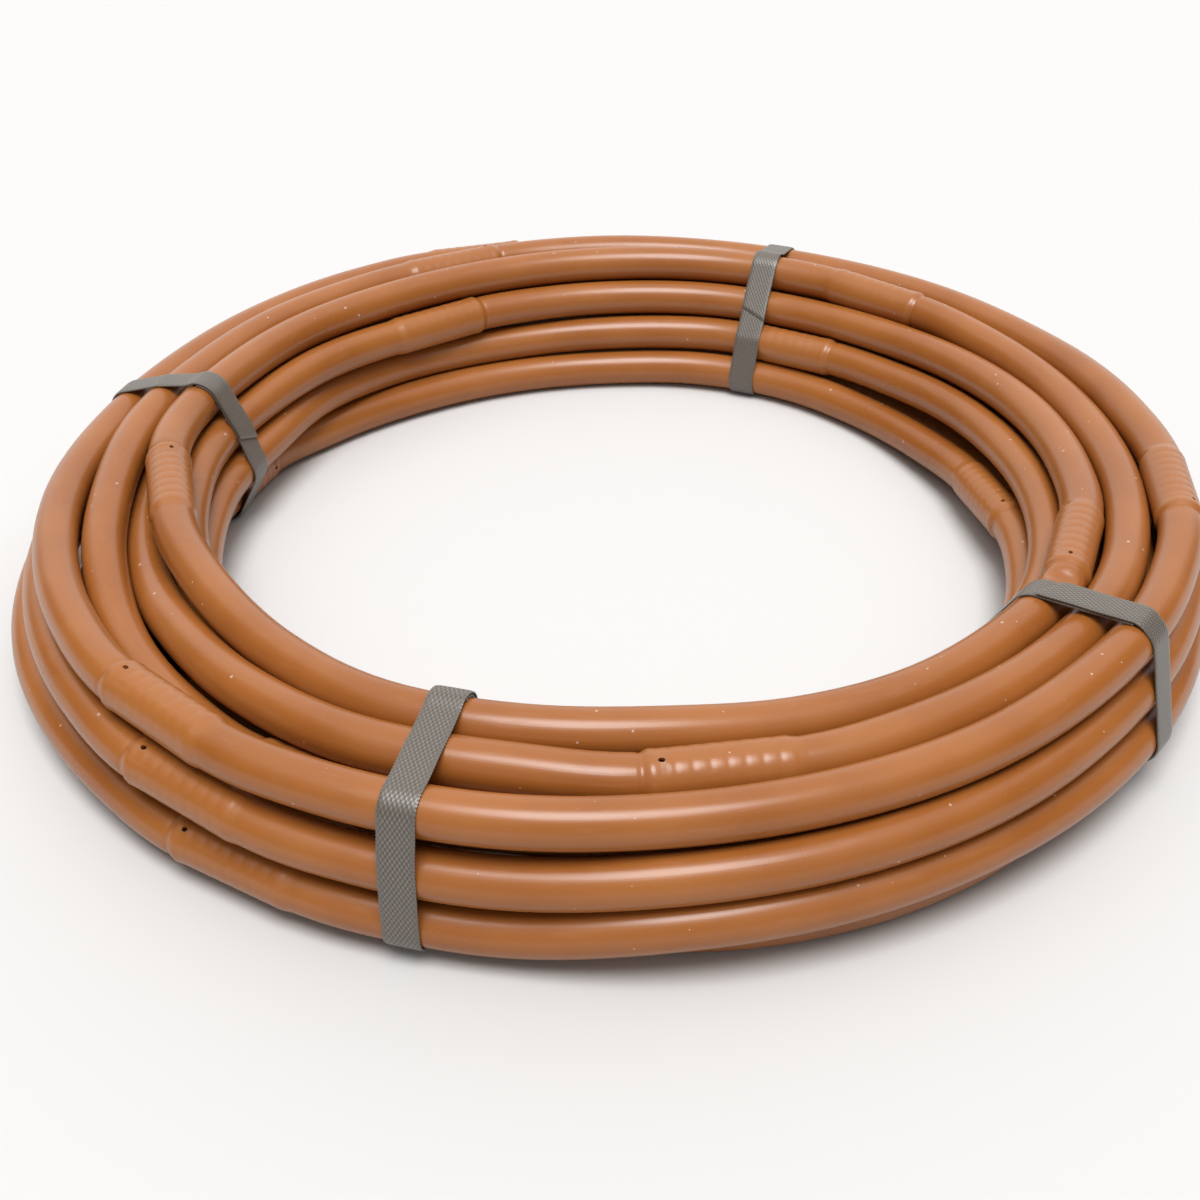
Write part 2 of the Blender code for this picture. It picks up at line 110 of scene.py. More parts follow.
TURN_PITCH = HOSE_OUTER_DIAMETER + TURN_GAP
ROW_RISE = TURN_PITCH * math.sqrt(3) / 2
FULL_TURNS = len(LAY)


def station_azimuths():
    """Azimuths of one turn's stations: two round each strap, and even steps between straps."""
    azimuths = []
    straps = list(STRAP_AZIMUTHS.values())
    for index, strap in enumerate(straps):
        following = straps[(index + 1) % len(straps)]
        if following < strap:
            following += 360
        azimuths.append(strap - STRAIGHT_HALF_SPAN)
        azimuths.extend(np.linspace(strap + STRAIGHT_HALF_SPAN, following - STRAIGHT_HALF_SPAN,
                                    STEPS_TO_NEXT_STRAP[index], endpoint=False))
    return np.array(azimuths)


STATIONS = station_azimuths()
PER_TURN = len(STATIONS)
STATION_COUNT = FULL_TURNS * PER_TURN - STATIONS_SHORT
UNROLLED = np.array([360 * (i // PER_TURN) + STATIONS[i % PER_TURN] for i in range(STATION_COUNT)])


def smooth_between(known_at, known, wanted):
    """Read a smooth curve through the known rows at the wanted places."""
    slopes = np.gradient(known, known_at, axis=0)
    left = np.clip(np.searchsorted(known_at, wanted, side="right") - 1, 0, len(known_at) - 2)
    span = known_at[left + 1] - known_at[left]
    t = np.clip((wanted - known_at[left]) / span, 0, 1)[:, None]
    span = span[:, None]
    return ((1 + 2 * t) * (1 - t) ** 2 * known[left] + t * (1 - t) ** 2 * span * slopes[left]
            + t * t * (3 - 2 * t) * known[left + 1] + t * t * (t - 1) * span * slopes[left + 1])


def drawn_lay():
    """Offset outwards and height of every station, as the lay plan draws them."""
    places = []
    offsets = []
    for turn, row in enumerate(LAY):
        for azimuth, (out, up) in zip(LAY_AZIMUTHS, row):
            places.append(360 * turn + azimuth)
            offsets.append((out * TURN_PITCH, HOSE_RADIUS + up * ROW_RISE))
    return smooth_between(np.array(places, float), np.array(offsets), UNROLLED)


def pushes(places, radii):
    """How far each place has to move to stand clear of the other turns at its azimuth."""
    rows = FULL_TURNS
    reach = np.zeros(rows * PER_TURN)
    reach[:len(places)] = radii
    reach = reach.reshape(rows, PER_TURN)
    grid = np.zeros((rows * PER_TURN, 2))
    grid[:len(places)] = places
    grid = grid.reshape(rows, PER_TURN, 2)
    present = reach > 0
    apart = present[:, None] & present[None] & ~np.eye(rows, dtype=bool)[:, :, None]
    needed = reach[:, None] + reach[None] + TURN_GAP
    away = grid[:, None] - grid[None]
    distance = np.maximum(np.hypot(away[..., 0], away[..., 1]), LEAST_DISTANCE)
    push = np.where(apart, np.clip(needed - distance, 0, None) / distance, 0)
    return (away * push[..., None]).sum(axis=1).reshape(-1, 2)[:len(places)]


def settle(drawn, radii):
    """Push the turns apart until they lie beside and on each other, at and between stations."""
    pairs = [int(np.argmin(np.abs(STATIONS - (strap - STRAIGHT_HALF_SPAN))))
             for strap in STRAP_AZIMUTHS.values()]
    lift = np.full(PER_TURN, FIT_GAP)
    starts = []
    for first in pairs:
        lift[[first, first + 1]] = STRAP_THICKNESS + FIT_GAP
        starts.extend(range(first, STATION_COUNT - 1, PER_TURN))
    starts = np.array(starts)
    floor = radii + np.resize(lift, STATION_COUNT)
    between = np.maximum(radii[:-1], radii[1:])
    places = drawn.copy()
    for step in range(SETTLE_ROUNDS):
        if step < SETTLE_ROUNDS - SETTLE_FREE_ROUNDS:
            places += SETTLE_PULL * (drawn - places)
            bend = places[:-2] + places[2:] - 2 * places[1:-1]
            places[1:-1] += SETTLE_STIFFNESS * bend
        for _ in range(PUSHES_A_ROUND):
            places += pushes(places, radii) * SETTLE_SHARE
            for share in CROSSING_PLACES:
                crossing = places[:-1] * (1 - share) + places[1:] * share
                sideways = pushes(crossing, between) * CROSSING_SHARE
                places[:-1] += sideways * (1 - share)
                places[1:] += sideways * share
            straight = (places[starts] + places[starts + 1]) / 2
            places[starts] = straight
            places[starts + 1] = straight
            places[:, 1] = np.maximum(places[:, 1], floor)
    return places


def round_the_coil(azimuths, offsets, mean_radius):
    """Points at these azimuths, from their offsets outwards and heights, and the length to each."""
    angles = np.radians(azimuths)
    radii = mean_radius + offsets[:, 0]
    points = np.stack([radii * np.sin(angles), -radii * np.cos(angles), offsets[:, 1]], axis=1)
    steps = np.linalg.norm(np.diff(points, axis=0), axis=1)
    return points, np.concatenate([[0], np.cumsum(steps)])


def lay_hose():
    """Settled stations, mean radius and the emitters' azimuths, for the hose's full length."""
    drawn = drawn_lay()
    fine = np.arange(UNROLLED[0], UNROLLED[-1], MEASURE_STEP)
    swing = math.radians(UNROLLED[-1] - UNROLLED[0])
    mean_radius = HOSE_LENGTH / swing
    emitter_lengths = np.arange(FIRST_EMITTER, HOSE_LENGTH - INSERT_HALF_LENGTH, EMITTER_SPACING)
    radii = np.full(STATION_COUNT, HOSE_RADIUS)
    for _ in range(SWELL_ROUNDS):
        offsets = settle(drawn, radii)
        smooth = smooth_between(UNROLLED, offsets, fine)
        lengths = round_the_coil(fine, smooth, mean_radius)[1]
        mean_radius += (HOSE_LENGTH - lengths[-1]) / swing
        lengths = round_the_coil(fine, smooth, mean_radius)[1]
        emitters = np.interp(emitter_lengths, lengths, fine)
        along = np.interp(UNROLLED, fine, lengths)
        nearest = np.abs(along[:, None] - emitter_lengths[None]).min(axis=1)
        beside = nearest < INSERT_HALF_LENGTH + mean_radius * math.radians(STRAIGHT_HALF_SPAN)
        radii = HOSE_RADIUS + np.where(beside, EMITTER_SWELL + SWELL_ROOM, 0)
    return offsets, mean_radius, emitters


OFFSETS, MEAN_RADIUS, EMITTER_AZIMUTHS = lay_hose()


def route_corner(azimuth, half_span):
    """Corner of a straight stretch: a little proud, so that chord and arc are equally long."""
    offset = smooth_between(UNROLLED, OFFSETS, np.array([azimuth]))[0]
    proud = math.radians(half_span) / math.sin(math.radians(half_span))
    radius = (MEAN_RADIUS + offset[0]) * proud
    angle = math.radians(azimuth)
    return np.array([radius * math.sin(angle), -radius * math.cos(angle), offset[1]])


def emitter_stretches():
    """Middle and direction of the straight stretch that each rigid emitter makes in the hose."""
    stretches = []
    for azimuth in EMITTER_AZIMUTHS:
        middle = smooth_between(UNROLLED, OFFSETS, np.array([azimuth]))[0]
        half_span = math.degrees(INSERT_HALF_LENGTH / (MEAN_RADIUS + middle[0]))
        start, end = (route_corner(azimuth + side * half_span, half_span) for side in (-1, 1))
        stretches.append(((start + end) / 2, (end - start) / np.linalg.norm(end - start)))
    return stretches


ROUTE_STEP = 0.25                  # degrees between the points of the hose's own line
SPRING_BACK = 0.045                # length over which the hose bends back to its round


def hose_line():
    """The hose's centre line as closely spaced points, the length to each, and each emitter's."""
    azimuths = np.arange(UNROLLED[0], UNROLLED[-1], ROUTE_STEP)
    line, lengths = round_the_coil(azimuths, smooth_between(UNROLLED, OFFSETS, azimuths), MEAN_RADIUS)
    tangents = np.gradient(line, lengths, axis=0)
    marks = np.interp(EMITTER_AZIMUTHS, azimuths, lengths)
    bent = line.copy()
    rigid = EMITTER_LENGTH / 2
    for mark, (centre, direction) in zip(marks, emitter_stretches()):
        inside = np.abs(lengths - mark) <= rigid
        bent[inside] = centre + direction * (lengths[inside] - mark)[:, None]
        for side in (-1, 1):
            edge = mark + side * rigid
            gone = side * (lengths - edge) / SPRING_BACK
            beside = (gone > 0) & (gone < 1)
            t = gone[beside][:, None]
            place = [np.interp(edge, lengths, line[:, k]) for k in range(3)]
            tangent = [np.interp(edge, lengths, tangents[:, k]) for k in range(3)]
            apart = centre + direction * side * rigid - place
            turned = direction - tangent
            bent[beside] += ((1 + 2 * t) * (1 - t) ** 2 * apart
                             + t * (1 - t) ** 2 * SPRING_BACK * side * turned)
    steps = np.linalg.norm(np.diff(bent, axis=0), axis=1)
    new_lengths = np.concatenate([[0], np.cumsum(steps)])
    return bent, new_lengths, np.interp(marks, lengths, new_lengths)


LINE, LINE_LENGTHS, EMITTER_MARKS = hose_line()

# The coil's axis stands off the middle of the part's box: the solid hose says by how much.
hose_low, hose_high = (np.array(corner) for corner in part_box("hose"))
COIL_AXIS = (hose_low + hose_high) / 2 - (LINE.min(axis=0) + LINE.max(axis=0)) / 2
LINE = LINE + COIL_AXIS


# ==== Camera ====
# A short telephoto from the front and above, level, its picture square.  Its place and view
# are the ones that the coil's outline and its straps fit.
CAMERA_AIM = (-0.0035, -0.0665, 0.028)      # from the coil's axis on the table
CAMERA_DISTANCE = 0.610
CAMERA_ELEVATION = math.radians(33.5)
CAMERA_NEAREST = 0.01
HALF_PICTURE = 600                 # pixels
FOCAL_LENGTH = 1650                # pixels

lens = bpy.data.cameras.new("camera")
lens.sensor_fit = "HORIZONTAL"
lens.angle = 2 * math.atan(HALF_PICTURE / FOCAL_LENGTH)
lens.clip_start = CAMERA_NEAREST
camera = bpy.data.objects.new("camera", lens)
aim = Vector((COIL_AXIS[0] + CAMERA_AIM[0], COIL_AXIS[1] + CAMERA_AIM[1], CAMERA_AIM[2]))
camera.location = aim + CAMERA_DISTANCE * Vector(
    (0, -math.cos(CAMERA_ELEVATION), math.sin(CAMERA_ELEVATION)))
camera.rotation_euler = (math.pi / 2 - CAMERA_ELEVATION, 0, 0)
bpy.context.scene.collection.objects.link(camera)
bpy.context.scene.camera = camera


# ==== Hose ====
# Brown low-density polyethylene, extruded over the emitters as they are fed in, so that each
# one shows through the wall: a sharp shoulder at one end, a soft one at the other, and beads
# over its ribs.  A water outlet is punched through the wall beside the sharp shoulder.
HOSE_WALL = 0.00115
HOSE_SIDES = 24
HOSE_CREASE = 55                   # degrees between faces from which an edge is sharp
PLAIN_STEP = 0.0065                # ring spacing along bare hose
BEAD_STEP = 0.0007                 # and over an emitter
CLOSE_RINGS_BEYOND = 0.0022        # how far past an emitter's shoulders the close rings go on
LEAST_STEP = 0.0003
SHARP_SHOULDER = 0.0022
SOFT_SHOULDER = 0.0045
LIP_HEIGHT = 0.0002                # the sharp shoulder's lip, and the neck in front of it
LIP_BEHIND = 0.0032
LIP_HALF_LENGTH = 0.0013
NECK_DEPTH = 0.00032
NECK_AHEAD = 0.0005
NECK_HALF_LENGTH = 0.0008
BEAD_PITCH = 0.00525
BEAD_DEPTH = 0.00018
BEAD_SPREAD = 75                   # degrees to each side of the outlet over which beads stand out
BEADS_ELSEWHERE = 0.25             # share of their depth that is left further round
GROOVES = 8                        # between the beads
FIRST_GROOVE = 0.0092              # from the sharp shoulder
GROOVE_HALF_LENGTH = 0.0010
PALE_BEYOND = 0.001                # the stretched wall is paler to here past an emitter
PALE_FADE = 0.004
OUTLET_FROM_SHOULDER = 0.0053
OUTLET_HALF_LENGTH = 0.00115
OUTLET_HALF_WIDTH = 0.0008
OUTLET_RINGS = 2                   # rings that an outlet takes up to each side
# The points round an outlet, in rings along the hose and sides round it.
OUTLET_BORDER = ((-2, -1), (-2, 0), (-2, 1), (-1, 1), (0, 1), (1, 1),
                 (2, 1), (2, 0), (2, -1), (1, -1), (0, -1), (-1, -1))
# Where the outlets of these emitters are, in degrees round the wall from the side that faces
# the coil's axis, up and over to the outside.
OUTLET_ANGLES = {3: 115, 6: 110, 7: 85, 8: 55, 9: 90, 10: 120, 11: 110, 12: 60, 15: 105, 16: 115,
                 17: 82, 18: 95, 19: 115, 21: 110, 23: 75}
OUTLET_DRIFT = 47                  # from one outlet to the next where none is in sight
# A dent pressed into the wall beside the right strap.
DENT_AT = 8.1705                   # along the hose
DENT_ANGLE = 105                   # round the wall, as an outlet's
DENT_DEPTH = 0.0026
DENT_HALF_LENGTH = 0.0052
DENT_HALF_SPREAD = 40              # degrees
DENT_REACH = 2.4                   # half lengths to each side over which its close rings stand
DENT_RINGS = 4                     # rings to a half length


def rise(t):
    """A soft step from 0 to 1."""
    t = np.clip(t, 0, 1)
    return t * t * (3 - 2 * t)


def swell(distance):
    """How far the wall stands out at this distance along the hose from an emitter's middle."""
    past = distance + INSERT_HALF_LENGTH
    out = rise(past / SHARP_SHOULDER)
    back = rise((INSERT_HALF_LENGTH - distance) / SOFT_SHOULDER)
    lip = LIP_HEIGHT * np.exp(-((past - LIP_BEHIND) / LIP_HALF_LENGTH) ** 2)
    neck = -NECK_DEPTH * np.exp(-((past + NECK_AHEAD) / NECK_HALF_LENGTH) ** 2)
    return EMITTER_SWELL * out * back + lip + neck


def beads(distance):
    """Grooves between the beads that an emitter's ribs raise in the wall, 1 at their deepest."""
    first = FIRST_GROOVE - INSERT_HALF_LENGTH
    grooves = 0
    for number in range(GROOVES):
        off = distance - first - number * BEAD_PITCH
        grooves = grooves + np.exp(-(off / GROOVE_HALF_LENGTH) ** 2)
    return grooves


def around(angle, other):
    """Degrees between two directions round the wall."""
    return np.abs((angle - other + 180) % 360 - 180)


def ring_places():
    """Where the hose's rings stand: far apart on bare hose, close over an emitter and at the dent."""
    end = LINE_LENGTHS[-1]
    stops = np.append(np.arange(0, end - PLAIN_STEP / 2, PLAIN_STEP), end)
    reach = INSERT_HALF_LENGTH + CLOSE_RINGS_BEYOND
    clear = np.abs(stops[:, None] - EMITTER_MARKS[None]).min(axis=1) > reach + PLAIN_STEP / 3
    close = [np.arange(mark - reach, mark + reach, BEAD_STEP) for mark in EMITTER_MARKS]
    beside = DENT_REACH * DENT_HALF_LENGTH
    dent = np.arange(DENT_AT - beside, DENT_AT + beside, DENT_HALF_LENGTH / DENT_RINGS)
    free = np.abs(dent[:, None] - EMITTER_MARKS[None]).min(axis=1) > reach
    places = np.sort(np.concatenate([stops[clear], dent[free]] + close))
    return places[np.append(True, np.diff(places) > LEAST_STEP)]


def ring_frames(places, turn):
    """The middle of each ring, and the directions from it to the ring's points."""
    tangents = np.gradient(LINE, LINE_LENGTHS, axis=0)
    centres, directions = (np.stack([np.interp(places, LINE_LENGTHS, row[:, k]) for k in range(3)], axis=1)
                           for row in (LINE, tangents))
    directions /= np.linalg.norm(directions, axis=1)[:, None]
    inward = np.cross([0, 0, 1], directions)
    inward /= np.linalg.norm(inward, axis=1)[:, None]
    upward = np.cross(directions, inward)
    circle = inward[:, None] * np.cos(turn)[:, None] + upward[:, None] * np.sin(turn)[:, None]
    return centres, circle


def wall_radii(places, angles, outlet_angles):
    """The wall's outer radius round every ring, and each ring's distance from its emitter."""
    distance = places[:, None] - EMITTER_MARKS[None]
    nearest = np.abs(distance).argmin(axis=1)
    distance = distance[np.arange(len(places)), nearest]
    off_outlet = around(angles[None], outlet_angles[nearest][:, None])
    facing = np.sqrt(np.clip(1 - off_outlet / BEAD_SPREAD, 0, 1))
    standing = BEADS_ELSEWHERE + (1 - BEADS_ELSEWHERE) * facing
    radii = HOSE_RADIUS + swell(distance)[:, None] - BEAD_DEPTH * beads(distance)[:, None] * standing
    off_dent = (((places - DENT_AT) / DENT_HALF_LENGTH)[:, None] ** 2
                + (around(angles[None], DENT_ANGLE) / DENT_HALF_SPREAD) ** 2)
    return radii - DENT_DEPTH * np.exp(-off_dent ** 2), distance


def skins_and_ends(count):
    """Faces of the outer skin and the bore, each of this many rings, and of the two cut ends."""
    index = np.arange(count * HOSE_SIDES).reshape(count, HOSE_SIDES)
    following = np.roll(index, -1, axis=1)
    bore = count * HOSE_SIDES
    skin = np.stack([index[:-1], following[:-1], following[1:], index[1:]], axis=-1).reshape(-1, 4)
    first_end = np.stack([index[0], index[0] + bore, following[0] + bore, following[0]], axis=-1)
    last_end = np.stack([index[-1], following[-1], following[-1] + bore, index[-1] + bore], axis=-1)
    return np.concatenate([skin, skin[:, ::-1] + bore]), np.concatenate([first_end, last_end])


def punch_outlets(points, faces, places, outlet_angles):
    """Open a hole through both skins beside each sharp shoulder; give back the faces."""
    count = len(places)
    kept = np.ones(len(faces), bool)
    tunnels = []

    def point_at(skin, ring, side):
        return (skin * count + ring) * HOSE_SIDES + side % HOSE_SIDES

    for mark, angle in zip(EMITTER_MARKS, outlet_angles):
        middle = int(np.abs(places - (mark - INSERT_HALF_LENGTH + OUTLET_FROM_SHOULDER)).argmin())
        facing = round(angle / 360 * HOSE_SIDES)
        rims = []
        for skin in (0, 1):
            for ring in range(middle - OUTLET_RINGS, middle + OUTLET_RINGS):
                for side in (facing - 1, facing):
                    kept[(skin * (count - 1) + ring) * HOSE_SIDES + side % HOSE_SIDES] = False
            centre = points[point_at(skin, middle, facing)].copy()
            along = (points[point_at(skin, middle + OUTLET_RINGS, facing)]
                     - points[point_at(skin, middle - OUTLET_RINGS, facing)])
            across = points[point_at(skin, middle, facing + 1)] - points[point_at(skin, middle, facing - 1)]
            along /= np.linalg.norm(along)
            across /= np.linalg.norm(across)
            rim = [point_at(skin, middle + ring, facing + side) for ring, side in OUTLET_BORDER]
            for corner, (ring, side) in zip(rim, OUTLET_BORDER):
                turn = math.atan2(side, ring / OUTLET_RINGS)
                points[corner] = (centre + along * OUTLET_HALF_LENGTH * math.cos(turn)
                                  + across * OUTLET_HALF_WIDTH * math.sin(turn))
            rims.append(rim)
        outer, inner = rims
        for here in range(len(OUTLET_BORDER)):
            after = (here + 1) % len(OUTLET_BORDER)
            tunnels.append((outer[here], outer[after], inner[after], inner[here]))
    return np.concatenate([faces[kept], np.array(tunnels)])


def hose_mesh():
    """Rings of points along the hose's line, joined into its outer and inner skins and its ends."""
    places = ring_places()
    count = len(places)
    angles = np.linspace(0, 360, HOSE_SIDES, endpoint=False)
    turn = np.radians(angles)
    outlet_angles = np.array([OUTLET_ANGLES.get(number + 1, number * OUTLET_DRIFT % 360)
                              for number in range(len(EMITTER_MARKS))], float)
    centres, circle = ring_frames(places, turn)
    radii, distance = wall_radii(places, angles, outlet_angles)
    outer = centres[:, None] + circle * radii[:, :, None]
    outer[..., 2] = np.maximum(outer[..., 2], FIT_GAP)           # it rests on the ground
    inner = centres[:, None] + circle * (radii - HOSE_WALL)[:, :, None]
    points = np.concatenate([outer.reshape(-1, 3), inner.reshape(-1, 3)])
    skins, ends = skins_and_ends(count)
    faces = np.concatenate([punch_outlets(points, skins, places, outlet_angles), ends])

    used = np.unique(faces)
    renumber = np.zeros(len(points), int)
    renumber[used] = np.arange(len(used))
    mesh = bpy.data.meshes.new("hose_wall")
    mesh.from_pydata(points[used].tolist(), [], renumber[faces].tolist())
    mesh.polygons.foreach_set("use_smooth", np.ones(len(mesh.polygons), bool))
    mesh.set_sharp_from_angle(angle=math.radians(HOSE_CREASE))

    along = np.repeat(places, HOSE_SIDES)
    flat = np.stack([along, HOSE_RADIUS * np.tile(np.cos(turn), count),
                     HOSE_RADIUS * np.tile(np.sin(turn), count)], axis=1)
    skin_place = mesh.attributes.new("skin_place", "FLOAT_VECTOR", "POINT")
    skin_place.data.foreach_set("vector", np.concatenate([flat, flat])[used].astype(np.float32).ravel())
    pale = rise((INSERT_HALF_LENGTH + PALE_BEYOND - np.abs(distance)) / PALE_FADE)
    over_emitter = mesh.attributes.new("over_emitter", "FLOAT", "POINT")
    over_emitter.data.foreach_set("value", np.tile(np.repeat(pale, HOSE_SIDES), 2)[used].astype(np.float32))
    return mesh


def grime_effect():
    """Shared by the hose and its ties: pale dust specks, and blotches where hands have been."""
    group = bpy.data.node_groups.new("dust_and_handling", "ShaderNodeTree")
    for name, start in (("Speck Size", 0.0004), ("Speck Spacing", 0.01), ("Blotch Size", 0.03)):
        socket = group.interface.new_socket(name=name, in_out="INPUT", socket_type="NodeSocketFloat")
        socket.default_value = start
    group.interface.new_socket(name="Specks", in_out="OUTPUT", socket_type="NodeSocketFloat")
    group.interface.new_socket(name="Blotches", in_out="OUTPUT", socket_type="NodeSocketFloat")
    nodes, links = group.nodes, group.links
    taken = nodes.new("NodeGroupInput")
    given = nodes.new("NodeGroupOutput")
    place = nodes.new("ShaderNodeTexCoord")

    def over(top, bottom):
        share = nodes.new("ShaderNodeMath")
        share.operation = "DIVIDE"
        for socket, value in zip(share.inputs, (top, bottom)):
            if isinstance(value, (int, float)):
                socket.default_value = value
            else:
                links.new(value, socket)
        return share.outputs[0]

    cells = nodes.new("ShaderNodeTexVoronoi")
    links.new(place.outputs["Object"], cells.inputs["Vector"])
    links.new(over(1, taken.outputs["Speck Spacing"]), cells.inputs["Scale"])
    chosen = nodes.new("ShaderNodeSeparateColor")
    links.new(cells.outputs["Color"], chosen.inputs["Color"])
    reach = nodes.new("ShaderNodeMapRange")           # only some cells hold a speck, of varied size
    reach.inputs["From Min"].default_value = 0.6
    reach.inputs["From Max"].default_value = 1.0
    links.new(chosen.outputs["Red"], reach.inputs["Value"])
    share = over(taken.outputs["Speck Size"], taken.outputs["Speck Spacing"])
    size = nodes.new("ShaderNodeMath")
    size.operation = "MULTIPLY"
    links.new(reach.outputs["Result"], size.inputs[0])
    links.new(share, size.inputs[1])
    speck = nodes.new("ShaderNodeMath")
    speck.operation = "LESS_THAN"
    links.new(cells.outputs["Distance"], speck.inputs[0])
    links.new(size.outputs[0], speck.inputs[1])
    links.new(speck.outputs[0], given.inputs["Specks"])

    cloud = nodes.new("ShaderNodeTexNoise")
    cloud.inputs["Detail"].default_value = 3
    links.new(place.outputs["Object"], cloud.inputs["Vector"])
    links.new(over(1, taken.outputs["Blotch Size"]), cloud.inputs["Scale"])
    links.new(cloud.outputs["Fac"], given.inputs["Blotches"])
    return group


def scuff_effect():
    """Fine marks that run along an extruded skin: die lines, and short rubbed streaks."""
    group = bpy.data.node_groups.new("drawn_marks", "ShaderNodeTree")
    socket = group.interface.new_socket(name="Skin Place", in_out="INPUT", socket_type="NodeSocketVector")
    for name in ("Lines", "Rubbing"):
        group.interface.new_socket(name=name, in_out="OUTPUT", socket_type="NodeSocketFloat")
    nodes, links = group.nodes, group.links
    taken = nodes.new("NodeGroupInput")
    given = nodes.new("NodeGroupOutput")
    # For each: marks to the metre along the skin and across it, and the grain that shows as a mark.
    for name, stretch, low, high in (("Lines", (14, 1800, 1800), 0.35, 0.75),
                                     ("Rubbing", (70, 420, 420), 0.58, 0.74)):
        drawn = nodes.new("ShaderNodeMapping")
        drawn.inputs["Scale"].default_value = stretch
        links.new(taken.outputs["Skin Place"], drawn.inputs["Vector"])
        grain = nodes.new("ShaderNodeTexNoise")
        grain.inputs["Scale"].default_value = 1
        grain.inputs["Detail"].default_value = 2
        links.new(drawn.outputs[0], grain.inputs["Vector"])
        cut = nodes.new("ShaderNodeMapRange")
        cut.inputs["From Min"].default_value = low
        cut.inputs["From Max"].default_value = high
        links.new(grain.outputs["Fac"], cut.inputs["Value"])
        links.new(cut.outputs["Result"], given.inputs[name])
    return group


DUST = grime_effect()
DRAWN_MARKS = scuff_effect()


def blended(tree, share, first, second, way="MIX"):
    """The colour between two, at this share of the second; each is a value or a socket."""
    mix = tree.nodes.new("ShaderNodeMix")
    mix.data_type = "RGBA"
    mix.blend_type = way
    for socket, value in zip((mix.inputs[0], mix.inputs[6], mix.inputs[7]), (share, first, second)):
        if isinstance(value, bpy.types.NodeSocket):
            tree.links.new(value, socket)
        else:
            socket.default_value = value
    return mix.outputs[2]


def spread(tree, value, low, high, start=0.0, end=1.0):
    """A mask from low to high, as the value goes from start to end."""
    reach = tree.nodes.new("ShaderNodeMapRange")
    tree.links.new(value, reach.inputs["Value"])
    for name, number in (("From Min", start), ("From Max", end), ("To Min", low), ("To Max", high)):
        reach.inputs[name].default_value = number
    return reach.outputs["Result"]


def painted(tree, name):
    """The node that reads a mesh attribute."""
    node = tree.nodes.new("ShaderNodeAttribute")
    node.attribute_name = name
    return node


def placed(tree, group, **values):
    """A shared effect in this material, with its own values."""
    node = tree.nodes.new("ShaderNodeGroup")
    node.node_tree = group
    for name, value in values.items():
        node.inputs[name.replace("_", " ").title()].default_value = value
    return node


DEEP_BROWN = (0.280, 0.089, 0.017, 1)
WARM_BROWN = (0.328, 0.112, 0.024, 1)
STRETCHED_BROWN = (0.335, 0.118, 0.028, 1)
PALE_BLOOM = (0.46, 0.26, 0.16, 1)
DUST_GREY = (0.75, 0.66, 0.56, 1)


def polyethylene():
    """Satin brown polyethylene: die lines, rubbed bloom, dust, and a paler wall over an emitter."""
    material = bpy.data.materials.new("hose_polyethylene")
    material.use_nodes = True
    tree = material.node_tree
    shader = tree.nodes["Principled BSDF"]
    marks = placed(tree, DRAWN_MARKS)
    tree.links.new(painted(tree, "skin_place").outputs["Vector"], marks.inputs["Skin Place"])
    dust = placed(tree, DUST, speck_size=0.0006, speck_spacing=0.0055, blotch_size=0.05)
    over = painted(tree, "over_emitter").outputs["Fac"]
    colour = blended(tree, spread(tree, dust.outputs["Blotches"], 0, 1, 0.35, 0.65), DEEP_BROWN, WARM_BROWN)
    colour = blended(tree, spread(tree, over, 0, 0.5), colour, STRETCHED_BROWN)
    colour = blended(tree, spread(tree, marks.outputs["Rubbing"], 0, 0.06), colour, PALE_BLOOM)
    colour = blended(tree, spread(tree, dust.outputs["Specks"], 0, 0.4), colour, DUST_GREY)
    tree.links.new(colour, shader.inputs["Base Color"])
    gloss = tree.nodes.new("ShaderNodeMath")
    gloss.operation = "ADD"
    tree.links.new(spread(tree, dust.outputs["Blotches"], 0.26, 0.31, 0.3, 0.7), gloss.inputs[0])
    tree.links.new(spread(tree, marks.outputs["Rubbing"], 0, 0.06), gloss.inputs[1])
    tree.links.new(gloss.outputs[0], shader.inputs["Roughness"])
    relief = tree.nodes.new("ShaderNodeBump")
    relief.inputs["Strength"].default_value = 0.15
    relief.inputs["Distance"].default_value = 0.00006
    tree.links.new(marks.outputs["Lines"], relief.inputs["Height"])
    tree.links.new(relief.outputs["Normal"], shader.inputs["Normal"])
    return material


hose = bpy.data.objects.new("hose_wall", hose_mesh())
bpy.context.scene.collection.objects.link(hose)
hose.data.materials.append(polyethylene())
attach(hose, "root")
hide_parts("hose")


# ==== Emitters ====
# Black moulded drippers, one inside every swollen stretch of the hose, held by the wall that
# shrank on to them.  They show only through the outlets.
MOULDED_BLACK = (0.012, 0.009, 0.008, 1)
GREYED_BLACK = (0.03, 0.024, 0.02, 1)


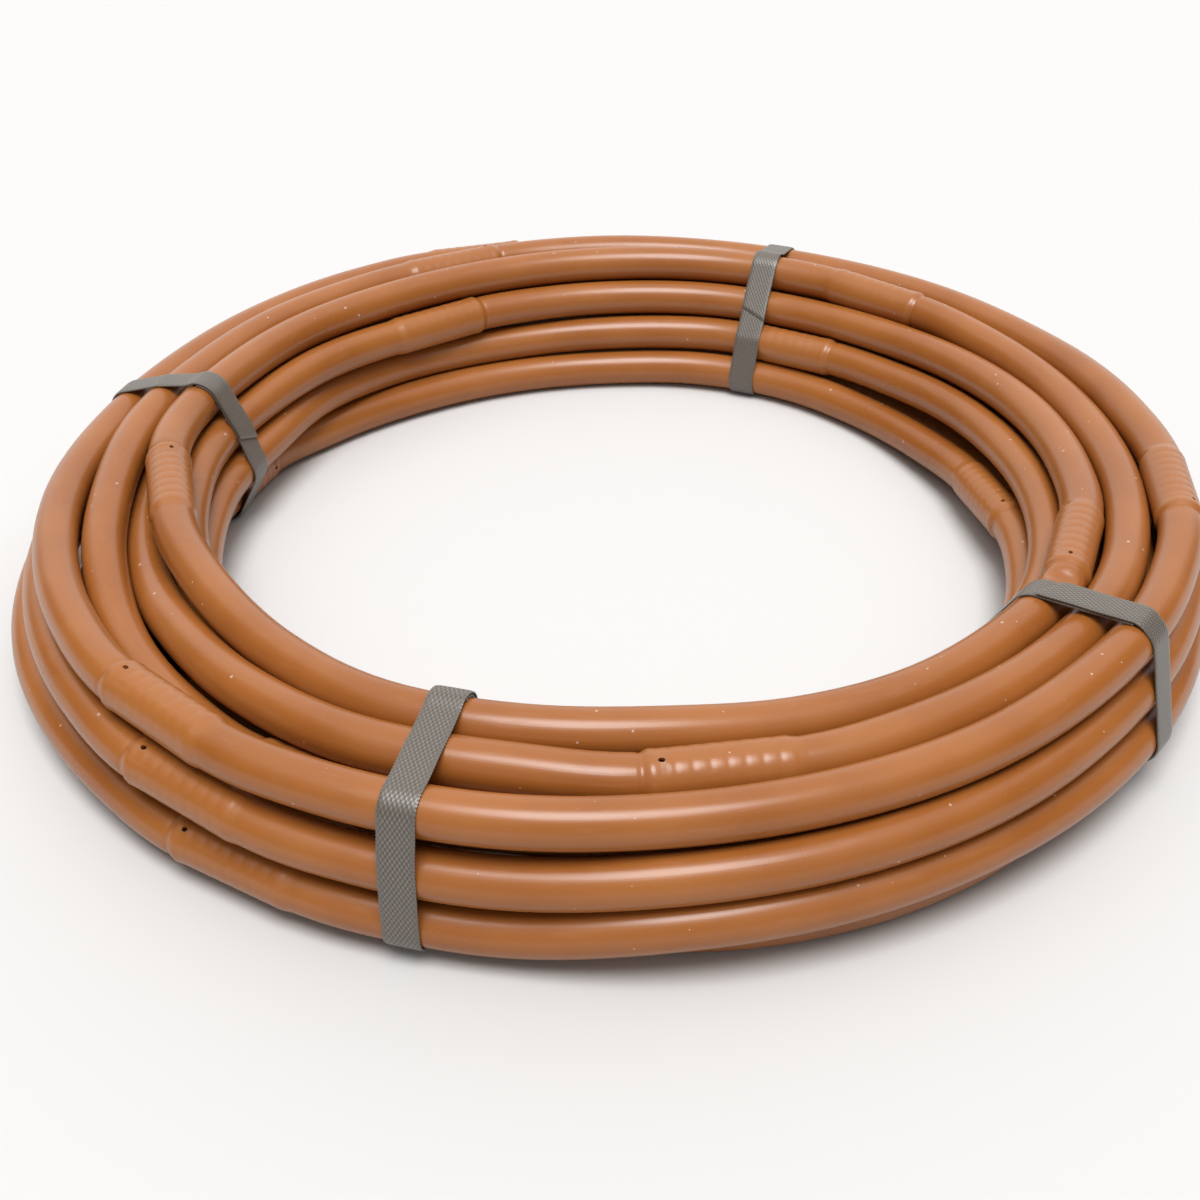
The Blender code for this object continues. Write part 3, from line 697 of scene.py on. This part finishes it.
def moulding():
    """Dark acetal, a little uneven in gloss, with a fine spark-eroded grain."""
    material = bpy.data.materials.new("emitter_moulding")
    material.use_nodes = True
    tree = material.node_tree
    shader = tree.nodes["Principled BSDF"]
    dust = placed(tree, DUST, speck_size=0.0003, speck_spacing=0.004, blotch_size=0.006)
    colour = blended(tree, dust.outputs["Blotches"], MOULDED_BLACK, GREYED_BLACK)
    tree.links.new(blended(tree, spread(tree, dust.outputs["Specks"], 0, 0.3), colour, DUST_GREY),
                   shader.inputs["Base Color"])
    tree.links.new(spread(tree, dust.outputs["Blotches"], 0.4, 0.6), shader.inputs["Roughness"])
    grain = tree.nodes.new("ShaderNodeTexNoise")
    grain.inputs["Scale"].default_value = 9000
    relief = tree.nodes.new("ShaderNodeBump")
    relief.inputs["Strength"].default_value = 0.2
    relief.inputs["Distance"].default_value = 0.00004
    tree.links.new(grain.outputs["Fac"], relief.inputs["Height"])
    tree.links.new(relief.outputs["Normal"], shader.inputs["Normal"])
    return material


black_moulding = moulding()
for name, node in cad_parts.items():
    if name.startswith("emitter"):
        for slot in node.material_slots:
            slot.material = black_moulding


# ==== Straps ====
# Four grey ties of flat braided polyester tape, each pulled tight round the bundle with its end
# lapped over its start.  Two families of yarn cross at a slant and leave bundles standing in
# diamond rows; small loops close the edges.  The tops of the bundles and loops carry a painted
# highlight, and the gaps between them painted shade.
STRAP_WIDTH = 0.012
STRAP_LAP = 0.034                  # length over which the two ends lie on each other
STRAP_LAP_GAP = 0.0002
LAP_CLIMB = 0.006                  # length over which the tape climbs on to its own start
LAP_SLANT = 0.005                  # the end is cut at a slant
SLANT_FADE = 0.02
CUT_ROUNDING = 0.0012              # the cut end thins over this length
CUT_THICKNESS = 0.55               # to this share
SIDE_ROOM = 0.0005                 # turns this far beside the tape still carry it
HULL_STEPS = 720                   # directions in which the bundle is felt round
STRAP_ROW = 0.00034
STRAP_COLUMNS = 44
BACK_COLUMNS = 5
STRAP_CREASE = 50                  # degrees between faces from which an edge is sharp
BRAID_ACROSS = 0.00147
BRAID_ALONG = 0.0024
YARN_RELIEF = 0.00014
EDGE_POWER = 9                     # how narrow the edge with its loops is
EDGE_THINNING = 0.35
LOOP_PITCH = 0.0012
LOOP_REACH = 0.0002
# The edges wander: how far, over which length, and how much they differ from strap to strap.
WANDERS = ((0.00012, 0.0085, 1), (0.00008, 0.0031, 2))
BACK_SHADE = 0.4                   # yarn height that the flat back is coloured by


def strap_loop(azimuth):
    """The tightest loop round the turns in the strap's upright plane, from its top over the inside:
    places out from the coil's axis and up, directions away from the bundle, and lengths."""
    angle = math.radians(azimuth)
    outward = np.array([math.sin(angle), -math.cos(angle), 0])
    along = np.array([math.cos(angle), math.sin(angle), 0])
    out, side = (LINE - COIL_AXIS) @ outward, (LINE - COIL_AXIS) @ along
    under = (out > 0) & (np.abs(side) < STRAP_WIDTH / 2 + SIDE_ROOM)
    distance = LINE_LENGTHS[under][:, None] - EMITTER_MARKS[None]
    nearest = distance[np.arange(len(distance)), np.abs(distance).argmin(axis=1)]
    reach = HOSE_RADIUS + np.clip(swell(nearest), 0, None) + FIT_GAP
    turn = np.linspace(math.pi / 2, 2.5 * math.pi, HULL_STEPS, endpoint=False)
    facing = np.stack([np.cos(turn), np.sin(turn)], axis=1)
    middles = np.stack([out[under], LINE[under, 2]], axis=1)
    furthest = (facing @ middles.T + reach[None]).argmax(axis=1)
    loop = middles[furthest] + facing * reach[furthest][:, None]
    loop, facing = np.concatenate([loop, loop[:1]]), np.concatenate([facing, facing[:1]])
    lengths = np.concatenate([[0], np.cumsum(np.linalg.norm(np.diff(loop, axis=0), axis=1))])
    return loop, facing, lengths, outward, along


def strap_mesh(name, azimuth):
    """The tape's closed surface, with its braid and edge loops, and how far each point is raised."""
    loop, facing, lengths, outward, along = strap_loop(azimuth)
    once = lengths[-1]
    total = once + STRAP_LAP
    rows = int(total / STRAP_ROW)
    straight_run = np.linspace(0, total, rows)[:, None]
    across = np.linspace(-0.5, 0.5, STRAP_COLUMNS + 1)[None]
    ending = rise((straight_run - total + SLANT_FADE) / SLANT_FADE)
    run = straight_run - LAP_SLANT * (across + 0.5) * ending
    braid = (np.cos(2 * math.pi * run / BRAID_ALONG)
             * np.cos(2 * math.pi * across * STRAP_WIDTH / BRAID_ACROSS))
    edge = np.abs(2 * across) ** EDGE_POWER
    loops = np.abs(np.cos(math.pi * run / LOOP_PITCH + across * math.pi))
    raised = rise((braid + 1) / 2) * (1 - edge) + loops * edge
    wander = sum(reach * np.sin(run / length + share * azimuth) for reach, length, share in WANDERS)
    breadth = across * STRAP_WIDTH + np.sign(across) * LOOP_REACH * (loops - 1) * edge + wander
    lift = (STRAP_THICKNESS + STRAP_LAP_GAP) * rise((run - once + LAP_CLIMB) / LAP_CLIMB)
    whole = rise((total - straight_run) / CUT_ROUNDING)
    thick = STRAP_THICKNESS * (1 - EDGE_THINNING * edge) * (CUT_THICKNESS + (1 - CUT_THICKNESS) * whole)

    def pulled_round(height):
        """Points of the tape this high over the bundle."""
        at = run % once
        out, up = (np.interp(at, lengths, loop[:, k]) + np.interp(at, lengths, facing[:, k]) * height
                   for k in range(2))
        up = np.maximum(up, 0)
        return (COIL_AXIS * (1, 1, 0) + out[..., None] * outward + breadth[..., None] * along
                + up[..., None] * np.array([0, 0, 1]))

    back_columns = np.linspace(STRAP_COLUMNS, 0, BACK_COLUMNS).astype(int)
    face = pulled_round(lift + thick - YARN_RELIEF * (1 - raised))
    back = pulled_round(lift)[:, back_columns]
    points = np.concatenate([face, back], axis=1)
    ring = points.shape[1]
    index = np.arange(rows * ring).reshape(rows, ring)
    following = np.roll(index, -1, axis=1)
    sides = np.stack([index[:-1], following[:-1], following[1:], index[1:]], axis=-1).reshape(-1, 4)
    ends = [index[0, ::-1].tolist(), index[-1].tolist()]
    mesh = bpy.data.meshes.new(name)
    mesh.from_pydata(points.reshape(-1, 3).tolist(), [], sides.tolist() + ends)
    mesh.polygons.foreach_set("use_smooth", np.ones(len(mesh.polygons), bool))
    mesh.set_sharp_from_angle(angle=math.radians(STRAP_CREASE))
    # Yarn height: the webbing paints shade into the low parts and a highlight on the tops from it.
    yarn = mesh.attributes.new("yarn_raised", "FLOAT", "POINT")
    shade = np.concatenate([raised, BACK_SHADE + 0 * raised[:, back_columns]], axis=1)
    yarn.data.foreach_set("value", shade.astype(np.float32).ravel())
    return mesh


# The darkest grey is painted shade for the gaps between the yarn bundles.
GROOVE_PAINTED_SHADE = (0.036, 0.028, 0.021, 1)
YARN_GREY = (0.082, 0.066, 0.052, 1)
HANDLED_GREY = (0.102, 0.084, 0.067, 1)
# Painted highlight for the tops of the bundles and the edge loops.
PAINTED_YARN_HIGHLIGHT = (0.29, 0.245, 0.20, 1)


def webbing():
    """Grey polyester yarn: painted shade between the bundles, painted highlight and gloss on top."""
    material = bpy.data.materials.new("strap_webbing")
    material.use_nodes = True
    tree = material.node_tree
    shader = tree.nodes["Principled BSDF"]
    dust = placed(tree, DUST, speck_size=0.0003, speck_spacing=0.005, blotch_size=0.012)
    raised = painted(tree, "yarn_raised").outputs["Fac"]
    worn = blended(tree, dust.outputs["Blotches"], YARN_GREY, HANDLED_GREY)
    # Painted shade: the low yarn between the bundles is darkened towards the groove colour.
    colour = blended(tree, spread(tree, raised, 0, 1, 0.05, 0.45), GROOVE_PAINTED_SHADE, worn)
    # Painted highlight: the highest yarn and the edge loops are brightened.
    colour = blended(tree, spread(tree, raised, 0, 0.9, 0.8, 1.0), colour, PAINTED_YARN_HIGHLIGHT)
    colour = blended(tree, spread(tree, dust.outputs["Specks"], 0, 0.4), colour, DUST_GREY)
    tree.links.new(colour, shader.inputs["Base Color"])
    tree.links.new(spread(tree, raised, 0.5, 0.2, 0.4, 1.0), shader.inputs["Roughness"])
    shader.inputs["Sheen Weight"].default_value = 0.1
    shader.inputs["Specular IOR Level"].default_value = 0.9
    fibre = tree.nodes.new("ShaderNodeTexNoise")
    fibre.inputs["Scale"].default_value = 4200
    relief = tree.nodes.new("ShaderNodeBump")
    relief.inputs["Strength"].default_value = 0.3
    relief.inputs["Distance"].default_value = 0.00006
    tree.links.new(fibre.outputs["Fac"], relief.inputs["Height"])
    tree.links.new(relief.outputs["Normal"], shader.inputs["Normal"])
    return material


grey_webbing = webbing()
for name, azimuth in STRAP_AZIMUTHS.items():
    tape = bpy.data.objects.new(name + "_tape", strap_mesh(name + "_tape", azimuth))
    bpy.context.scene.collection.objects.link(tape)
    tape.data.materials.append(grey_webbing)
    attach(tape, "root")
    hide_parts(name)


# ==== Floor and light ====
# A pale table under the coil, lit by one broad soft light that hangs above it, a little towards
# the camera, inside a tent of white cloth.
FLOOR_HALF = 6.0
FLOOR_GREY = (0.58, 0.575, 0.57, 1)
TENT_WHITE = (1, 0.99, 0.98, 1)
TENT_DARK = 0.08                   # strength where the tent is open, and where it is bright
TENT_BRIGHT = 1.15
TENT_SIDES = (0.60, 0.80)          # it darkens between these shares of a direction sideways
TENT_FRONT = (-0.9, -0.2)          # and brightens between these shares away from the camera
TENT_FRONT_SHARE = 0.25            # of the brightness is left towards the camera
LIGHT_ANGLE = 33                   # degrees across, seen from the table
LIGHT_STRENGTH = 2.9
LIGHT_TILT = 18                    # degrees off the upright
floor_mesh = bpy.data.meshes.new("floor")
floor_mesh.from_pydata([(-FLOOR_HALF, -FLOOR_HALF, 0), (FLOOR_HALF, -FLOOR_HALF, 0),
                        (FLOOR_HALF, FLOOR_HALF, 0), (-FLOOR_HALF, FLOOR_HALF, 0)], [], [(0, 1, 2, 3)])
floor = bpy.data.objects.new("floor", floor_mesh)
bpy.context.scene.collection.objects.link(floor)
pale_floor = bpy.data.materials.new("pale_floor")
pale_floor.use_nodes = True
floor_finish = pale_floor.node_tree.nodes["Principled BSDF"].inputs
floor_finish["Base Color"].default_value = FLOOR_GREY
floor_finish["Roughness"].default_value = 0.9
floor_finish["Specular IOR Level"].default_value = 0.1
floor_mesh.materials.append(pale_floor)

# The tent round the table is bright above and behind, and open to a dark room at its sides and
# towards the camera.
world = bpy.data.worlds.new("studio")
world.use_nodes = True
tent = world.node_tree
direction = tent.nodes.new("ShaderNodeTexCoord")
parts = tent.nodes.new("ShaderNodeSeparateXYZ")
tent.links.new(direction.outputs["Generated"], parts.inputs["Vector"])
sideways = tent.nodes.new("ShaderNodeMath")
sideways.operation = "ABSOLUTE"
tent.links.new(parts.outputs["X"], sideways.inputs[0])
walls = tent.nodes.new("ShaderNodeMath")
walls.operation = "MULTIPLY"
tent.links.new(spread(tent, sideways.outputs[0], 1, 0, *TENT_SIDES), walls.inputs[0])
tent.links.new(spread(tent, parts.outputs["Y"], TENT_FRONT_SHARE, 1, *TENT_FRONT), walls.inputs[1])
cloth = tent.nodes["Background"]
tent.links.new(spread(tent, walls.outputs[0], TENT_DARK, TENT_BRIGHT), cloth.inputs["Strength"])
cloth.inputs["Color"].default_value = TENT_WHITE
bpy.context.scene.world = world
bpy.context.scene.view_settings.view_transform = "Standard"

overhead_light = bpy.data.lights.new("overhead", "SUN")
overhead_light.angle = math.radians(LIGHT_ANGLE)
overhead_light.energy = LIGHT_STRENGTH
overhead = bpy.data.objects.new("overhead", overhead_light)
overhead.rotation_euler = (math.radians(LIGHT_TILT), 0, 0)
bpy.context.scene.collection.objects.link(overhead)
